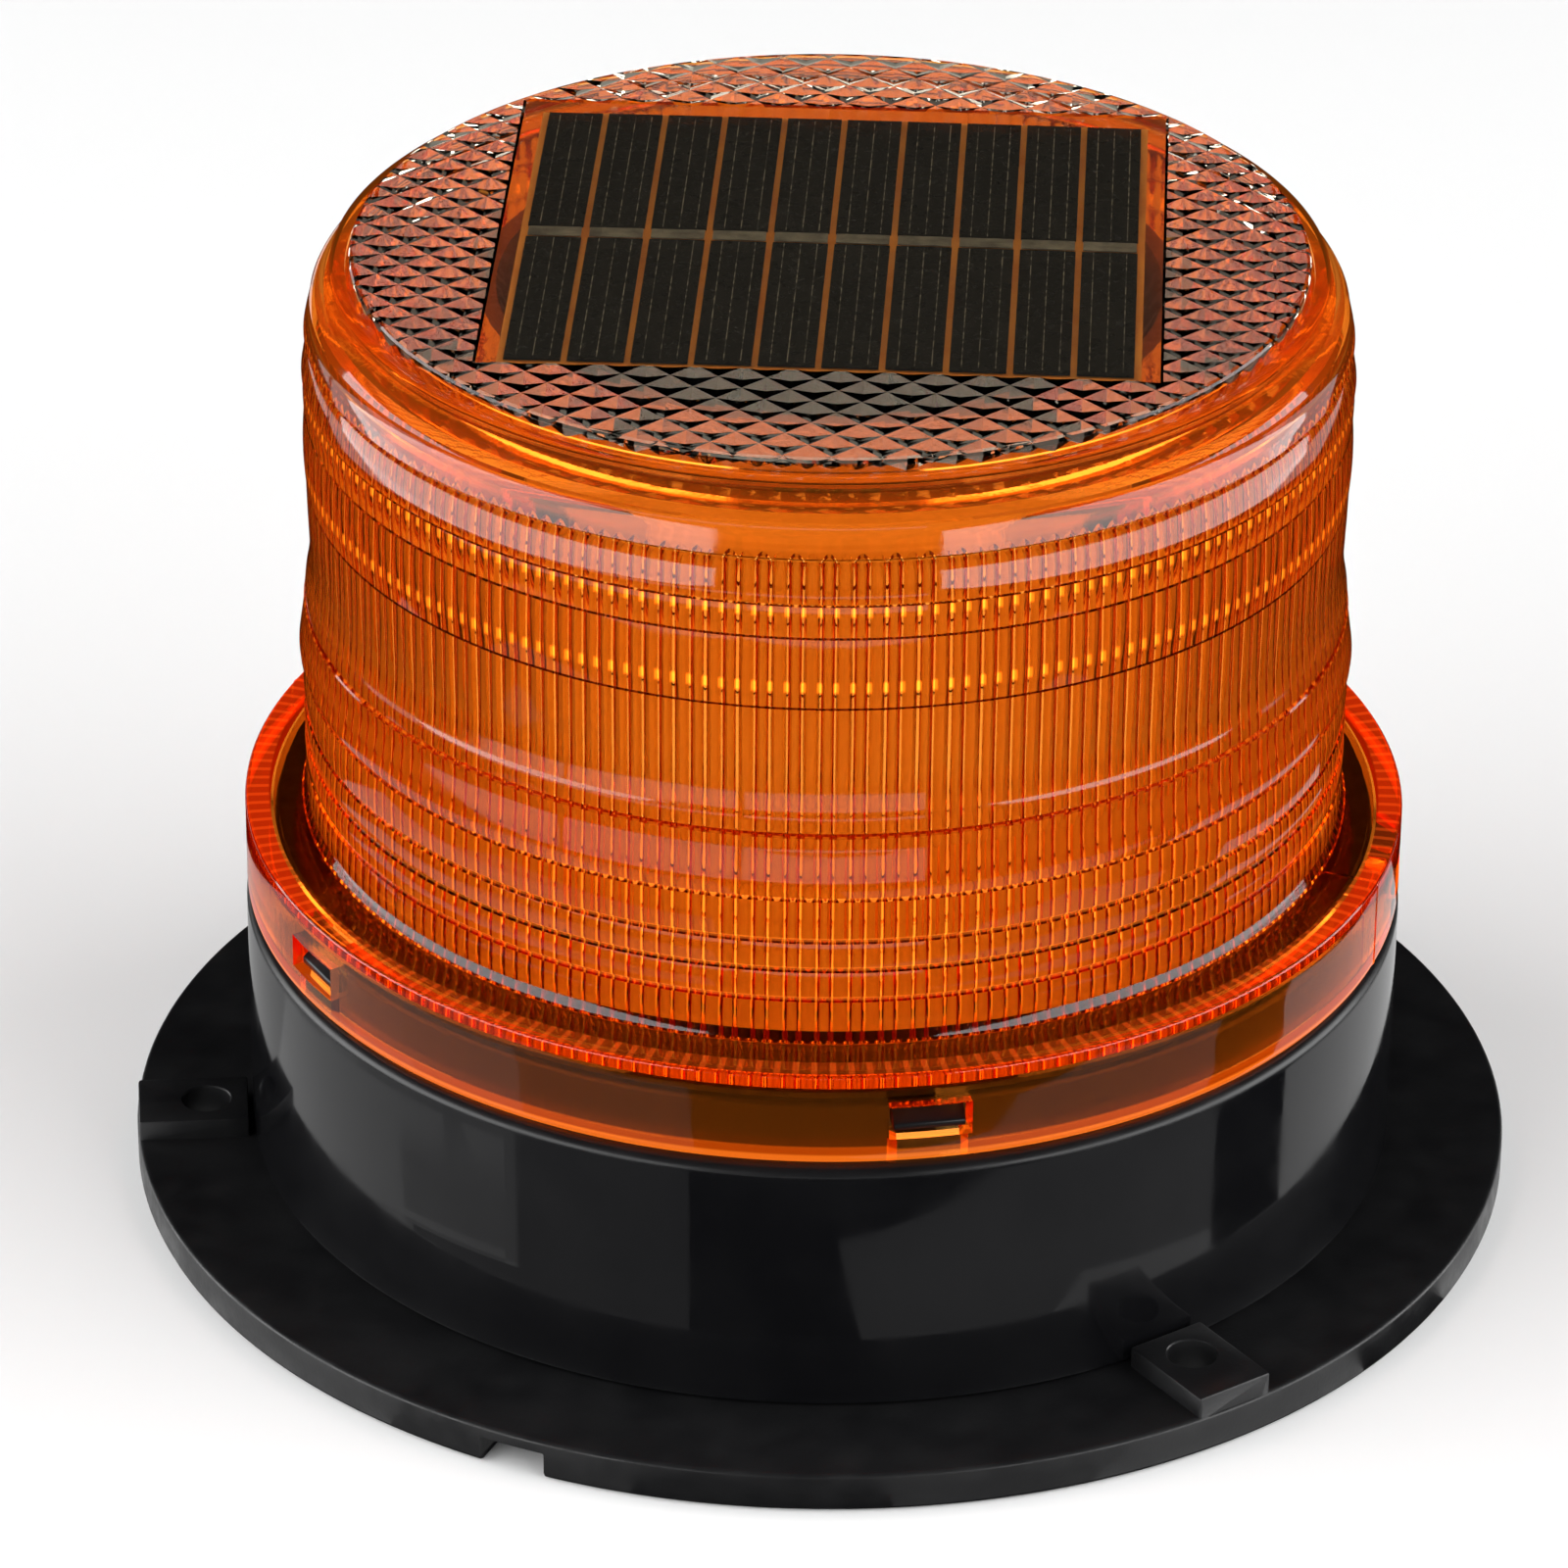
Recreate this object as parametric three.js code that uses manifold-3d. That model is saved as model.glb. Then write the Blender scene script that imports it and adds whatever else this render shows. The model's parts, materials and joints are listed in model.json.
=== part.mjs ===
// Solar barricade warning light: a round amber beacon on a black three-lug mounting base.
// Units are millimetres, +Z is up, and the origin is the bottom centre of the base.
// Azimuths are measured from the front (-Y) and grow towards +X.

import * as THREE from 'three';
import { mergeVertices } from 'three/addons/utils/BufferGeometryUtils.js';
import Module from 'manifold-3d';

const wasm = await Module();
wasm.setup();

const rad = THREE.MathUtils.degToRad;
const GAP = 0.3;               // clearance between neighbouring pieces
const ROUND = 60;              // facets round the large turned pieces
const SMALL = 16;              // facets round the small turned pieces

// Base plate and its three mounting lugs
const FLANGE_R = 74;
const FLANGE_Z = 4.5;
const FOOT_R = 54;             // inside this radius the underside is raised
const FOOT_Z = 1.6;
const LUG_AZIMUTHS = [-85, 35, 155];
const LUG = { width: 9, top: 6.8, inner: 62, face: 73.8, hole: 2.6, holeR: 66.5 };
const NOTCH = { width: 7.3, height: 3.1, depth: 4.5 };
const REGISTER = { inner: 54.6, outer: 56.4, top: 8 };

// Housing: the glossy black drum with the spigot that the lens snaps on to
const WALL_R = 61.5;
const WALL_BORE = 58.8;
const WALL_BOTTOM = FLANGE_Z + GAP;
const WALL_TOP = 32.9;
const SPIGOT_R = 58.3;
const SPIGOT_BORE = 55.8;
const DECK_TOP = 39.2;
const DECK_T = 2.2;
const DECK_HOLE = 8;
const SCREW_R = 50;
const BOSS = { radius: 3.5, top: 18, bore: 1.75, boreTop: 15 };

// Lens: skirt, shelf and banded drum in one amber moulding
const SKIRT_R = 61.4;
const SKIRT_BORE = 58.7;
const SKIRT_BOTTOM = WALL_TOP + GAP;
const SHELF_Z = 43.75;
const SHELF_UNDER = 41;
const DRUM_BORE = 51.8;
const PLATE_TOP = 103.5;
const PLATE_UNDER = 101.2;
const LEAD_HOLE = 3.2;
// The uneven spacing lets the lens clip on one way only.
const WINDOW_AZIMUTHS = [10.2, 82.8, 155.4, 228, 300.6];
const WINDOWS = { width: 8.2, bottom: 36.1, top: 39.8 };
// Each band of the drum is a shallow crown between two grooves: bottom, top and crown radius.
const LOW_BANDS = [[44.6, 48.6, 55.1], [48.6, 52, 55.1], [52, 55.3, 55.1], [55.3, 60.1, 55.1]];
const HIGH_BANDS = [[75.4, 81.2, 54.5], [81.2, 89, 54.5], [89, 92.6, 54.4], [92.6, 96.6, 54.3]];
const GROOVE = 0.45;

// Clear cover and the solar panel under it
const COVER = { radius: 49.3, bottom: 104.4, under: 104.6, edge: 106.1, top: 106.5, seat: 47.6 };
const PANEL = { x: 0.2, y: 3, yaw: -2.7, pitch: 6.35, columns: 10, cellW: 5.7, cellL: 28.6, midGap: 2.8 };
const CELL_Z = 104.15;
const CELL_T = 0.2;
const SHEET_Z = 103.8;
const SHEET_T = 0.2;

// Electronics
const BOARD = { x: 6, y: 27, length: 52, width: 22, z: 10, thickness: 1.6 };
const LED_RING = { inner: 10, outer: 47.5, z: DECK_TOP + GAP, thickness: 1.6, ledR: 27, count: 6 };
const BATTERY = { y: -12, radius: 7.15, length: 50, pitch: 14.9, count: 3, z: 14.6 };
const SWITCH_TRAVEL = 4;

const model = new THREE.Group();

function finish(color, roughness, metalness = 0, opacity = 1) {
  return new THREE.MeshStandardMaterial({
    color, roughness, metalness, opacity, transparent: opacity < 1,
  });
}

function addPart(name, geometry, material, parent = model) {
  const mesh = new THREE.Mesh(geometry, material);
  mesh.name = name;
  parent.add(mesh);
  return mesh;
}

// A turned piece whose outline lies off the axis and closes on itself.
function ring(outline, segments = ROUND) {
  const points = [...outline, outline[0]].map(([r, z]) => new THREE.Vector2(r, z));
  return new THREE.LatheGeometry(points, segments).rotateX(Math.PI / 2);
}

// A turned piece whose outline starts and ends on the axis.
function turned(outline, segments = ROUND) {
  const points = outline.map(([r, z]) => new THREE.Vector2(r, z));
  return new THREE.LatheGeometry(points, segments).rotateX(Math.PI / 2);
}

function box(x0, x1, y0, y1, z0, z1) {
  return new THREE.BoxGeometry(x1 - x0, y1 - y0, z1 - z0)
    .translate((x0 + x1) / 2, (y0 + y1) / 2, (z0 + z1) / 2);
}

function post(x, y, radius, z0, z1, segments = SMALL) {
  return new THREE.CylinderGeometry(radius, radius, z1 - z0, segments)
    .rotateX(Math.PI / 2)
    .translate(x, y, (z0 + z1) / 2);
}

function tube(points, radius) {
  const path = new THREE.CatmullRomCurve3(points.map((p) => new THREE.Vector3(...p)));
  const section = new THREE.Shape().absarc(0, 0, radius, 0, 2 * Math.PI);
  const steps = 3 * (points.length - 1);
  return new THREE.ExtrudeGeometry(section, { steps, curveSegments: 3, extrudePath: path });
}

function toSolid(geometry) {
  const bare = geometry.clone();
  bare.deleteAttribute('normal');
  bare.deleteAttribute('uv');
  const merged = mergeVertices(bare, 1e-4);
  const corners = merged.index.array;
  const triVerts = [];
  for (let i = 0; i < corners.length; i += 3) {
    const [a, b, c] = corners.slice(i, i + 3);
    if (a !== b && b !== c && c !== a) triVerts.push(a, b, c);
  }
  return new wasm.Manifold(new wasm.Mesh({
    numProp: 3,
    vertProperties: Float32Array.from(merged.attributes.position.array),
    triVerts: Uint32Array.from(triVerts),
  }));
}

function toGeometry(solid) {
  const { vertProperties, triVerts } = solid.getMesh();
  const geometry = new THREE.BufferGeometry();
  geometry.setAttribute('position', new THREE.BufferAttribute(vertProperties, 3));
  geometry.setIndex(new THREE.BufferAttribute(triVerts, 1));
  geometry.computeVertexNormals();
  return geometry;
}

function combine(start, added, removed) {
  let solid = toSolid(start);
  for (const piece of added) solid = solid.add(toSolid(piece));
  for (const piece of removed) solid = solid.subtract(toSolid(piece));
  return toGeometry(solid);
}

// Points of the axis-parallel features that repeat round the object.
function around(radius, azimuth) {
  return [radius * Math.sin(rad(azimuth)), -radius * Math.cos(rad(azimuth))];
}

function notchAzimuths() {
  return LUG_AZIMUTHS.map((azimuth) => azimuth + 60);
}

function basePlate() {
  const plate = turned([
    [0, FOOT_Z], [FOOT_R, FOOT_Z], [FOOT_R + 0.8, 0], [FLANGE_R - 0.8, 0], [FLANGE_R, 0.8],
    [FLANGE_R, FLANGE_Z - 0.6], [FLANGE_R - 0.6, FLANGE_Z], [REGISTER.outer, FLANGE_Z],
    [REGISTER.outer, REGISTER.top], [REGISTER.inner, REGISTER.top], [REGISTER.inner, FLANGE_Z],
    [0, FLANGE_Z],
  ]);
  const half = LUG.width / 2;
  const added = [];
  const removed = [];
  for (const azimuth of LUG_AZIMUTHS) {
    const turn = rad(azimuth);
    added.push(box(-half, half, -LUG.face, -LUG.inner, 1, LUG.top).rotateZ(turn));
    const [x, y] = around(LUG.holeR, azimuth);
    removed.push(post(x, y, LUG.hole, -1, LUG.top + 1, 24));
  }
  for (const azimuth of notchAzimuths()) {
    const side = NOTCH.width / 2;
    removed.push(box(-side, side, -FLANGE_R - 1, NOTCH.depth - FLANGE_R, -1, NOTCH.height)
      .rotateZ(rad(azimuth)));
    const [x, y] = around(SCREW_R, azimuth);
    removed.push(post(x, y, 1.8, 0, FLANGE_Z + 1));
    removed.push(post(x, y, 3.4, 0, 2.6));
  }
  for (const [x, y] of boardPosts()) {
    added.push(post(x, y, 2.2, FLANGE_Z - 0.5, BOARD.z - GAP, 12));
    removed.push(post(x, y, 1.3, FLANGE_Z + 1, BOARD.z + 1, 12));
  }
  removed.push(box(BOARD.x - 4.3, BOARD.x + 4.3, BOARD.y - 1.7, BOARD.y + 1.7, 0, FLANGE_Z + 1));
  return combine(plate, added, removed);
}

function housing() {
  const deckUnder = DECK_TOP - DECK_T;
  const shell = ring([
    [WALL_R, WALL_BOTTOM], [WALL_R, WALL_TOP - 1.3], [WALL_R - 0.4, WALL_TOP - 0.4],
    [WALL_R - 1.3, WALL_TOP], [SPIGOT_R, WALL_TOP], [SPIGOT_R, DECK_TOP - 0.5],
    [SPIGOT_R - 0.5, DECK_TOP], [DECK_HOLE, DECK_TOP], [DECK_HOLE, deckUnder],
    [SPIGOT_BORE, deckUnder], [SPIGOT_BORE, 31.5], [WALL_BORE, 28.5], [WALL_BORE, WALL_BOTTOM],
  ]);
  const added = [];
  const removed = [];
  for (const azimuth of notchAzimuths()) {
    const [x, y] = around(SCREW_R, azimuth);
    added.push(post(x, y, BOSS.radius, WALL_BOTTOM, BOSS.top));
    added.push(box(-2, 2, -WALL_BORE - 0.8, -SCREW_R - 2, REGISTER.top + 0.6, BOSS.top)
      .rotateZ(rad(azimuth)));
    removed.push(post(x, y, BOSS.bore, 0, BOSS.boreTop));
  }
  for (const azimuth of WINDOW_AZIMUTHS) added.push(latchHook().rotateZ(rad(azimuth)));
  return combine(shell, added, removed);
}

// Wedge hook with a sloping top and a flat locking underside, facing the front.
function latchHook() {
  const low = WINDOWS.bottom + 0.5;
  const outline = [[57.4, low], [60.5, low], [60.5, low + 0.7], [58.4, 38.9], [57.4, 38.9]];
  const section = new THREE.Shape(outline.map(([r, z]) => new THREE.Vector2(r, z)));
  const width = WINDOWS.width - 0.8;
  const wedge = new THREE.ExtrudeGeometry(section, { depth: width, bevelEnabled: false });
  return wedge.translate(0, 0, -width / 2).rotateX(Math.PI / 2).rotateZ(-Math.PI / 2);
}

function bandOutline(bands) {
  return bands.flatMap(([bottom, top, crown]) => [
    [crown - GROOVE, bottom],
    [crown, bottom + 0.35 * (top - bottom)],
    [crown, bottom + 0.7 * (top - bottom)],
  ]);
}

function lens() {
  const moulding = ring([
    [SKIRT_R, SKIRT_BOTTOM], [SKIRT_R, SHELF_Z - 0.5], [SKIRT_R - 0.5, SHELF_Z],
    [55.3, SHELF_Z],
    ...bandOutline(LOW_BANDS),
    [54.7, 60.1], [55.2, 62], [55.2, 65.6], [55, 67.1], [54.5, 67.6], [54.5, 69.5],
    [54, 71.2],
    ...bandOutline(HIGH_BANDS),
    [53.6, 96.7], [53.5, 97.6], [53.9, 98], [53.7, 99.2], [53.1, 100.8], [52.3, 102], [52, 103.2],
    [51.5, 104.1], [50.6, 104.5], [49.7, 104.5], [49.7, 104.1], [48, 104.1], [48, PLATE_TOP],
    [LEAD_HOLE, PLATE_TOP], [LEAD_HOLE, PLATE_UNDER], [DRUM_BORE - 0.8, PLATE_UNDER],
    [DRUM_BORE, PLATE_UNDER - 0.8], [DRUM_BORE, SHELF_UNDER], [SKIRT_BORE, SHELF_UNDER],
    [SKIRT_BORE, SKIRT_BOTTOM],
  ]);
  const removed = [];
  for (const azimuth of WINDOW_AZIMUTHS) {
    const side = WINDOWS.width / 2;
    removed.push(box(-side, side, -SKIRT_R - 1, -SKIRT_BORE + 1, WINDOWS.bottom, WINDOWS.top)
      .rotateZ(rad(azimuth)));
    removed.push(box(-side + 1, side - 1, -SKIRT_BORE - 1.2, -SKIRT_BORE + 1, SKIRT_BOTTOM - 1,
      WINDOWS.bottom - 0.8).rotateZ(rad(azimuth)));
  }
  return combine(moulding, [], removed);
}

function topCover() {
  return turned([
    [0, COVER.under], [COVER.seat, COVER.under], [COVER.seat, COVER.bottom],
    [COVER.radius, COVER.bottom], [COVER.radius, COVER.edge - 0.4],
    [COVER.radius - 0.5, COVER.edge], [30, COVER.top - 0.1], [0, COVER.top],
  ]);
}

function addSolarPanel() {
  const panel = new THREE.Group();
  panel.position.set(PANEL.x, PANEL.y, 0);
  panel.rotation.z = rad(PANEL.yaw);
  model.add(panel);
  const length = 2 * PANEL.cellL + PANEL.midGap;
  const width = PANEL.columns * PANEL.pitch;
  const sheet = box(-width / 2 - 0.4, width / 2 + 0.4, -length / 2 - 0.7, length / 2 + 0.7,
    SHEET_Z, SHEET_Z + SHEET_T);
  addPart('solar_backsheet', sheet, finish(0xc9561a, 0.5), panel);
  const silicon = finish(0x14161d, 0.3);
  for (let row = 0; row < 2; row += 1) {
    for (let column = 0; column < PANEL.columns; column += 1) {
      const number = String(row * PANEL.columns + column + 1).padStart(2, '0');
      const cell = new THREE.BoxGeometry(PANEL.cellW, PANEL.cellL, CELL_T);
      const mesh = addPart(`solar_cell_${number}`, cell, silicon.clone(), panel);
      const side = row === 0 ? -1 : 1;
      mesh.position.set(
        (column - (PANEL.columns - 1) / 2) * PANEL.pitch,
        side * (PANEL.cellL + PANEL.midGap) / 2,
        CELL_Z + CELL_T / 2,
      );
    }
  }
}

function flatRing(inner, outer, bottom, top) {
  return ring([[outer, bottom], [outer, top], [inner, top], [inner, bottom]]);
}

// Flared white cone that throws the light of the LED ring out through the drum.
function reflector() {
  const foot = LED_RING.z + LED_RING.thickness + GAP;
  return ring([
    [18, foot], [19, 58], [24.5, 80], [36, 99.6], [34.2, 99.6],
    [23, 80.6], [17.4, 58.4], [16.4, foot],
  ]);
}

function addLeds() {
  const base = LED_RING.z + LED_RING.thickness + GAP;
  for (let i = 0; i < LED_RING.count; i += 1) {
    const azimuth = i * 360 / LED_RING.count + 20;
    const [x, y] = around(LED_RING.ledR, azimuth);
    const led = turned([[0, 0], [2.9, 0], [2.9, 1], [2.5, 1], [2.5, 5], [0, 7]], 10);
    addPart(`led_${i + 1}`, led, finish(0xf2c56a, 0.2)).position.set(x, y, base);
  }
}

function batteryTray() {
  const halfX = BATTERY.length / 2 + 3.2;
  const halfY = BATTERY.count * BATTERY.pitch / 2 + 1.4;
  const floor = WALL_BOTTOM;
  const outer = box(-halfX, halfX, BATTERY.y - halfY, BATTERY.y + halfY, floor, 14);
  const pocket = box(-halfX + 1.6, halfX - 1.6, BATTERY.y - halfY + 1.2, BATTERY.y + halfY - 1.2,
    floor + 1.8, 20);
  return combine(outer, [], [pocket]);
}

function addBatteries() {
  const { length, radius } = BATTERY;
  const end = length / 2;
  const outline = [[0, -end + 1.6], [radius, -end + 1.6], [radius, end - 2.2],
    [2.7, end - 2.2], [2.7, end - 0.8], [0, end - 0.8]];
  for (let i = 0; i < BATTERY.count; i += 1) {
    const cell = turned(outline, SMALL).rotateY(i % 2 ? -Math.PI / 2 : Math.PI / 2);
    const y = BATTERY.y + (i - (BATTERY.count - 1) / 2) * BATTERY.pitch;
    addPart(`battery_cell_${i + 1}`, cell, finish(0x2f7d4a, 0.45)).position.set(0, y, BATTERY.z);
  }
  const sides = { left: -1, right: 1 };
  for (const [name, side] of Object.entries(sides)) {
    const plate = new THREE.BoxGeometry(0.5, BATTERY.count * BATTERY.pitch - 1, 9);
    addPart(`battery_contact_${name}`, plate, finish(0xc8c8c4, 0.3, 0.9))
      .position.set(side * (end + 0.55), BATTERY.y, 12);
  }
}

function boardPosts() {
  const dx = BOARD.length / 2 - 4;
  const dy = BOARD.width / 2 - 3.4;
  return [[BOARD.x - dx, BOARD.y - dy], [BOARD.x + dx, BOARD.y + dy]];
}

function controlBoard() {
  const { x, y, length, width, z, thickness } = BOARD;
  const sheet = box(x - length / 2, x + length / 2, y - width / 2, y + width / 2, z, z + thickness);
  const holes = boardPosts().map(([px, py]) => post(px, py, 1.4, z - 1, z + thickness + 1, 12));
  return combine(sheet, [], holes);
}

function addBoardPieces() {
  const top = BOARD.z + BOARD.thickness + GAP;
  addPart('control_board', controlBoard(), finish(0x1f5f36, 0.5));
  addPart('board_chip', box(-2.6, 2.6, 24.4, 28.4, top, top + 1.6), finish(0x1a1a1c, 0.5));
  addPart('board_capacitor', post(24, 24, 3.2, top, top + 8), finish(0x26335c, 0.4));
  addPart('board_inductor', post(-11, 32, 3.8, top, top + 4.4), finish(0x3b3a38, 0.6));
  boardPosts().forEach(([x, y], i) => {
    const screw = turned([[0, -4.4], [0.9, -4.4], [0.9, 0], [1.9, 0], [1.9, 1.2], [0, 1.4]], 12);
    addPart(`board_screw_${i + 1}`, screw, finish(0xb9b9b6, 0.35, 0.9)).position.set(x, y, top);
  });
}

// Slide switch under the control board; its knob reaches down through the base plate.
function addSwitch() {
  const { x, y } = BOARD;
  const bottom = FLANGE_Z + GAP;
  const body = box(x - 6.3, x + 6.3, y - 3.3, y + 3.3, bottom, BOARD.z - GAP);
  const channel = box(x - 4.3, x + 4.3, y - 1.6, y + 1.6, bottom - 1, bottom + 2);
  addPart('switch_body', combine(body, [], [channel]), finish(0xb8bab8, 0.4, 0.8));
  const knob = combine(
    box(-1.5, 1.5, -1.3, 1.3, 0.6, bottom + 1.6),
    [],
    [box(-0.3, 0.3, -2, 2, 0, 1)],
  );
  addPart('switch_slider', knob, finish(0xe8e6e0, 0.45)).position.set(x - SWITCH_TRAVEL / 2, y, 0);
}

// Pan-head cross screw, head down.
function baseScrew() {
  const screw = turned([[0, 0], [2.3, 0], [3, 0.6], [3, 1.7], [1.4, 1.7], [1.4, 10.4], [0, 11.4]], 12);
  const slots = [box(-1.7, 1.7, -0.35, 0.35, -1, 0.9), box(-0.35, 0.35, -1.7, 1.7, -1, 0.9)];
  return combine(screw, [], slots);
}

function addBaseScrews() {
  notchAzimuths().forEach((azimuth, i) => {
    const [x, y] = around(SCREW_R, azimuth);
    addPart(`base_screw_${i + 1}`, baseScrew(), finish(0x9c9c9a, 0.35, 0.9)).position.set(x, y, 0.6);
  });
}

function addLeads() {
  const red = finish(0xa81e1a, 0.5);
  const black = finish(0x1b1b1c, 0.5);
  const land = BOARD.z + BOARD.thickness + GAP + 0.6;
  const routes = {
    solar_lead_red: [[1.3, 0, 103.4], [1.3, 0.4, 84], [2.2, 1.6, 60], [2, 3.4, 42],
      [3, 8, 31], [10, 20, 22], [13, 26, land]],
    solar_lead_black: [[-1.3, 0, 103.4], [-1.3, 0.4, 84], [-2.2, 1.6, 60], [-2, 3.4, 42],
      [-1.4, 8, 31], [5, 20, 23], [9, 31, land]],
    led_lead_red: [[13.4, -2, 42], [10, -2, 44.2], [5.6, -1.8, 41], [5.6, 1, 34],
      [13, 15, 25], [17, 25, land]],
    led_lead_black: [[-13.4, -2, 42], [-10, -2, 44.2], [-5.6, -1.8, 41], [-5.8, 2, 34],
      [-4, 16, 24], [-5, 20, land]],
    battery_lead_red: [[29.6, -8, 15], [31, -2, 19], [30, 10, 19], [29, 18, 16], [28, 22, land]],
    battery_lead_black: [[-29.6, -8, 15], [-31, -2, 19], [-28, 10, 19], [-18, 16, 17],
      [-14, 24, land]],
  };
  for (const [name, route] of Object.entries(routes)) {
    addPart(name, tube(route, 0.6), (name.endsWith('red') ? red : black).clone());
  }
}

addPart('base_plate', basePlate(), finish(0x17181a, 0.6));
addPart('base_seal', flatRing(56.8, 58.4, FLANGE_Z + GAP, 6.6), finish(0x222324, 0.8));
addPart('housing', housing(), finish(0x0f1012, 0.18));
addPart('lens_gasket', flatRing(54, 57.8, DECK_TOP + GAP, SHELF_UNDER - GAP), finish(0x2a2a2b, 0.8));
addPart('lens', lens(), finish(0xe0600c, 0.12, 0, 0.75));
addPart('top_cover', topCover(), finish(0xf4f6f8, 0.08, 0, 0.35));
addSolarPanel();
addPart('led_board', flatRing(LED_RING.inner, LED_RING.outer, LED_RING.z,
  LED_RING.z + LED_RING.thickness), finish(0xe6e6e2, 0.45));
addPart('reflector', reflector(), finish(0xf0efe9, 0.3));
addLeds();
addPart('battery_tray', batteryTray(), finish(0x1c1d1f, 0.5));
addBatteries();
addBoardPieces();
addSwitch();
addBaseScrews();
addLeads();

export default model;
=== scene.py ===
import json
import math

import bmesh
import bpy
import numpy as np
from mathutils import Matrix, Vector


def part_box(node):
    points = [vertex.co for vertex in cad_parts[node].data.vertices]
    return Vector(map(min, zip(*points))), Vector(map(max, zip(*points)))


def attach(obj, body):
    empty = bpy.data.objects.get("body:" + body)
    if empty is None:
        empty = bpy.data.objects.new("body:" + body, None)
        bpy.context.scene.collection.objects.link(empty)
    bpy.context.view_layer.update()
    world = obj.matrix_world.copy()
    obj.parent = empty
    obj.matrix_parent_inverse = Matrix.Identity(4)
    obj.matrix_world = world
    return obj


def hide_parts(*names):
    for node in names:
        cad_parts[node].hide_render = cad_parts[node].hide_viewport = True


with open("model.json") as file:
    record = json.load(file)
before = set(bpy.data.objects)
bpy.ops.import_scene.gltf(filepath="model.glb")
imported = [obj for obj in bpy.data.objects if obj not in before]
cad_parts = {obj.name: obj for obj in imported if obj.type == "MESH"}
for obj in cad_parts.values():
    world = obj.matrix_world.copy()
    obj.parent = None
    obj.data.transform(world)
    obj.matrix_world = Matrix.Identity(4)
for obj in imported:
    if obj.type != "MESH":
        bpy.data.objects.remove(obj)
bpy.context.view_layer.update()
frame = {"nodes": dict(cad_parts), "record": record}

MM = 0.001
LIGHT = "light"
KNOB = "switch_knob"


def high(node):
    """Upper corner of a CAD node's box in millimetres."""
    return [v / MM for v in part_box(node)[1]]


def low(node):
    """Lower corner of a CAD node's box in millimetres."""
    return [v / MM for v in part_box(node)[0]]


FLANGE_R = high("base_plate")[1]
LUG_MOUNT = next(m for m in frame["record"]["mounts"] if m["name"] == "lug_face_1")
LUG_TOP = LUG_MOUNT["pos_m"][2] / MM
WALL_R = high("housing")[1]
WALL_BOTTOM = low("housing")[2]
DECK_TOP = high("housing")[2]
SKIRT_R = high("lens")[1]
SKIRT_BOTTOM = low("lens")[2]
LENS_TOP = high("lens")[2]
COVER_R = high("top_cover")[1]
COVER_BOTTOM = low("top_cover")[2]
COVER_TOP = high("top_cover")[2]
PLATE_TOP = low("solar_backsheet")[2] - 0.3
FLANGE_TOP = WALL_BOTTOM - 0.3
WALL_TOP = SKIRT_BOTTOM - 0.3
SKIRT_BORE = SKIRT_R - 2.7
SHELF_TOP = SKIRT_BOTTOM + 10.55
SHELF_UNDER = DECK_TOP + 1.8
DRUM_BORE = 51.8
DRUM_GROOVES = (44.6, 48.6, 52, 55.3, 60.1)    # heights that part the drum's low bands

FLUTES = 204              # vertical flutes round the inside of the drum
FLUTE_STEPS = 8           # points across one flute
FLUTE_DEPTH = 0.42
FLUTE_TOP = 96.2
COLUMNS = 408             # points round every smooth turned surface of the lens
LUG_AZIMUTHS = (-85, 35, 155)
LUG_WIDTH = 9
LUG_INNER = 62
LUG_FACE = 73.8
LUG_HOLE_R = 66.5
WINDOW_AZIMUTHS = (10.2, 82.8, 155.4, 228, 300.6)
WINDOW_WIDTH = 8.2
WINDOW_Z = (36.1, 39.8)
PARTING_AZIMUTHS = (70, 250)
SCREW_R = 50
PRISM_SIDE = 3.4           # side of one pyramid, turned 45 degrees to the solar panel
PRISM_DEPTH = 0.8
PRISM_VALLEY = COVER_BOTTOM + 1.05
PANEL_YAW = -2.7
BOARD_UNDER = low("control_board")[2]
SWITCH_MIDDLE = [(a + b) / 2 for a, b in zip(low("switch_body")[:2], high("switch_body")[:2])]


# ---------------------------------------------------------------- mesh helpers
def on_circle(radius, azimuth, z):
    a = math.radians(azimuth)
    return (radius * math.sin(a), -radius * math.cos(a), z)


def arc(centre, radius, start, end, steps):
    """Points (r, z) of a rounded stretch, angles in degrees from the +r direction."""
    return [
        (centre[0] + radius * math.cos(math.radians(a)), centre[1] + radius * math.sin(math.radians(a)))
        for a in np.linspace(start, end, steps + 1)
    ]


def ring(radius, z, columns):
    a = np.arange(columns) * 2 * math.pi / columns
    return np.stack([radius * np.sin(a), -radius * np.cos(a), np.full(columns, float(z))], 1)


def stitch(first, second):
    """Faces between two rings of vertex numbers, where one ring may be a multiple of the other."""
    if len(first) == len(second):
        n = len(first)
        return [(first[i], first[(i + 1) % n], second[(i + 1) % n], second[i]) for i in range(n)]
    flipped = len(first) > len(second)
    few, many = (second, first) if flipped else (first, second)
    k = len(many) // len(few)
    faces = []
    for i in range(len(few)):
        fan = [many[(i * k + j) % len(many)] for j in range(k + 1)]
        face = [few[(i + 1) % len(few)], few[i]] + fan
        faces.append(tuple(face))
    return faces


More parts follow.
